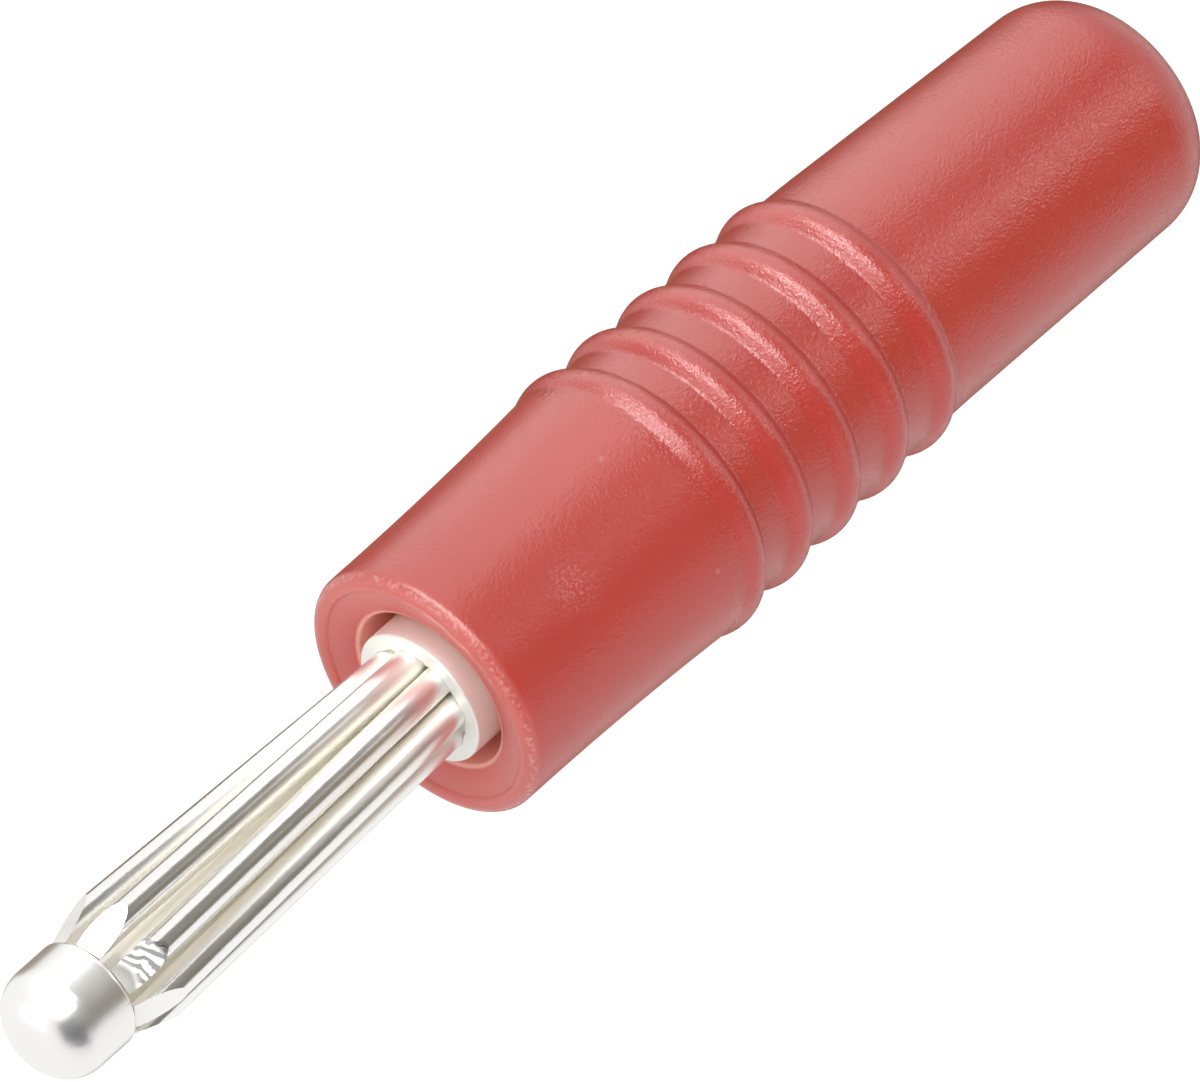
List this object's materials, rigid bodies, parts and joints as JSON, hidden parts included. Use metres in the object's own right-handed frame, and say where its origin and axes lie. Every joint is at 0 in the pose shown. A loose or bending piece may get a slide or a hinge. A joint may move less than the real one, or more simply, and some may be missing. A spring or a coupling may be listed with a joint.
{
  "type": "banana plug",
  "caption": "Bunch-pin banana plug: sprung silver-plated wires between a cup and a domed head, in a ribbed soft red insulating sleeve.",
  "frame": {"origin": "on the plug's axis in the plane of the sleeve's front rim, where the plug meets a socket", "axes": "+Z along the plug's axis toward the contact's tip; the cable leaves along -Z"},
  "size_m": [0.0086, 0.0086, 0.0449],
  "materials": {
    "sleeve_pvc": "satin soft red PVC",
    "silver_plate": "bright silver plate on brass",
    "screw_steel": "zinc-plated steel"
  },
  "bodies": {
    "contact": {"contact_body": "silver_plate", "core_pin": "silver_plate"},
    "sleeve": {"insulating_sleeve": "sleeve_pvc"},
    "screw": {"clamp_screw": "screw_steel"},
    "wire_1": {"spring_wire_1": "silver_plate"},
    "wire_2": {"spring_wire_2": "silver_plate"},
    "wire_3": {"spring_wire_3": "silver_plate"},
    "wire_4": {"spring_wire_4": "silver_plate"},
    "wire_5": {"spring_wire_5": "silver_plate"},
    "wire_6": {"spring_wire_6": "silver_plate"},
    "wire_7": {"spring_wire_7": "silver_plate"},
    "wire_8": {"spring_wire_8": "silver_plate"}
  },
  "joints": [
    {"name": "sleeve_slide", "type": "slide", "parent": "contact", "child": "sleeve", "axis": [0, 0, -1], "range_m": [0, 0.025]},
    {"name": "screw_travel", "type": "slide", "parent": "contact", "child": "screw", "axis": [0, -1, 0], "range_m": [0, 0.0009]},
    {"name": "wire_1_flex", "type": "hinge", "parent": "contact", "child": "wire_1", "pos_m": [0.00006, -0.00117, -0.00139], "axis": [-0.9763, 0.2164, 0], "range_deg": [0, 1.1], "stiffness_Nm_per_rad": 0.05},
    {"name": "wire_2_flex", "type": "hinge", "parent": "contact", "child": "wire_2", "pos_m": [0.00087, -0.00078, -0.00139], "axis": [-0.8434, -0.5373, 0], "range_deg": [0, 1.1], "stiffness_Nm_per_rad": 0.05},
    {"name": "wire_3_flex", "type": "hinge", "parent": "contact", "child": "wire_3", "pos_m": [0.00117, 0.00006, -0.00139], "axis": [-0.2164, -0.9763, 0], "range_deg": [0, 1.1], "stiffness_Nm_per_rad": 0.05},
    {"name": "wire_4_flex", "type": "hinge", "parent": "contact", "child": "wire_4", "pos_m": [0.00078, 0.00087, -0.00139], "axis": [0.5373, -0.8434, 0], "range_deg": [0, 1.1], "stiffness_Nm_per_rad": 0.05},
    {"name": "wire_5_flex", "type": "hinge", "parent": "contact", "child": "wire_5", "pos_m": [-0.00006, 0.00117, -0.00139], "axis": [0.9763, -0.2164, 0], "range_deg": [0, 1.1], "stiffness_Nm_per_rad": 0.05},
    {"name": "wire_6_flex", "type": "hinge", "parent": "contact", "child": "wire_6", "pos_m": [-0.00087, 0.00078, -0.00139], "axis": [0.8434, 0.5373, 0], "range_deg": [0, 1.1], "stiffness_Nm_per_rad": 0.05},
    {"name": "wire_7_flex", "type": "hinge", "parent": "contact", "child": "wire_7", "pos_m": [-0.00117, -0.00006, -0.00139], "axis": [0.2164, 0.9763, 0], "range_deg": [0, 1.1], "stiffness_Nm_per_rad": 0.05},
    {"name": "wire_8_flex", "type": "hinge", "parent": "contact", "child": "wire_8", "pos_m": [-0.00078, -0.00087, -0.00139], "axis": [-0.5373, 0.8434, 0], "range_deg": [0, 1.1], "stiffness_Nm_per_rad": 0.05}
  ]
}
